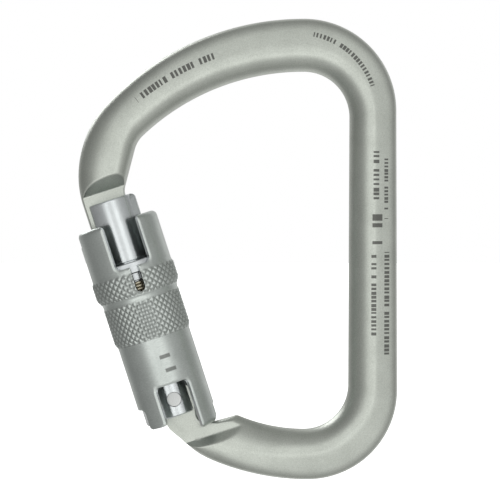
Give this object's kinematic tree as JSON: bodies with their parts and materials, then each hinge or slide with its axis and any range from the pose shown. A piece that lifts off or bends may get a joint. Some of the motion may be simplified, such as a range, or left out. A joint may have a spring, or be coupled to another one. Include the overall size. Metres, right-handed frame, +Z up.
{
  "type": "locking carabiner",
  "caption": "Large steel D-shaped carabiner with an inward-opening gate under a knurled sleeve that lifts and twists to unlock.",
  "frame": {"origin": "top of the crown's inner bend, where the carabiner hangs on its anchor", "axes": "+Z up to the crown, +X towards the spine, +Y towards the back face"},
  "size_m": [0.0828, 0.0222, 0.1197],
  "materials": {
    "forged_steel": "blasted and plated, satin",
    "bright_zinc": "turned and bright zinc plated",
    "satin_sleeve": "satin zinc plated, diamond knurl",
    "rivet_steel": "ground flush",
    "satin_steel": "satin",
    "spring_wire": "drawn wire"
  },
  "bodies": {
    "frame": {"frame": "forged_steel"},
    "gate": {"gate": "bright_zinc", "hinge_rivet": "rivet_steel", "spring_collar": "satin_steel", "guide_pin": "rivet_steel", "collar_cross_pin": "rivet_steel", "gate_spring": "spring_wire", "sleeve_spring": "spring_wire"},
    "plunger": {"gate_plunger": "rivet_steel"},
    "washer": {"thrust_washer": "satin_steel"},
    "sleeve": {"locking_sleeve": "satin_sleeve", "sleeve_bush": "satin_steel", "sleeve_retaining_ring": "satin_steel"}
  },
  "joints": [
    {"name": "gate_open", "type": "hinge", "parent": "frame", "child": "gate", "pos_m": [-0.03146, 0, -0.08461], "axis": [0, 1, 0], "range_deg": [0, 28], "stiffness_Nm_per_rad": 0.3, "springref_deg": -28.65},
    {"name": "plunger_slide", "type": "slide", "parent": "gate", "child": "plunger", "axis": [-0.3074, 0, 0.9516], "range_m": [0, 0.0005], "deforming": ["gate_spring"]},
    {"name": "sleeve_lift", "type": "slide", "parent": "gate", "child": "washer", "axis": [-0.3074, 0, 0.9516], "range_m": [0, 0.005], "stiffness_N_per_m": 600, "springref_m": -0.01, "deforming": ["sleeve_spring"]},
    {"name": "sleeve_twist", "type": "hinge", "parent": "washer", "child": "sleeve", "pos_m": [-0.03184, 0, -0.08473], "axis": [0.3074, 0, -0.9516], "range_deg": [0, 90], "stiffness_Nm_per_rad": 0.02, "springref_deg": -34.38}
  ],
  "couplings": [
    {"joint": "plunger_slide", "follows": "gate_open", "m_per_rad": 0.00094}
  ]
}
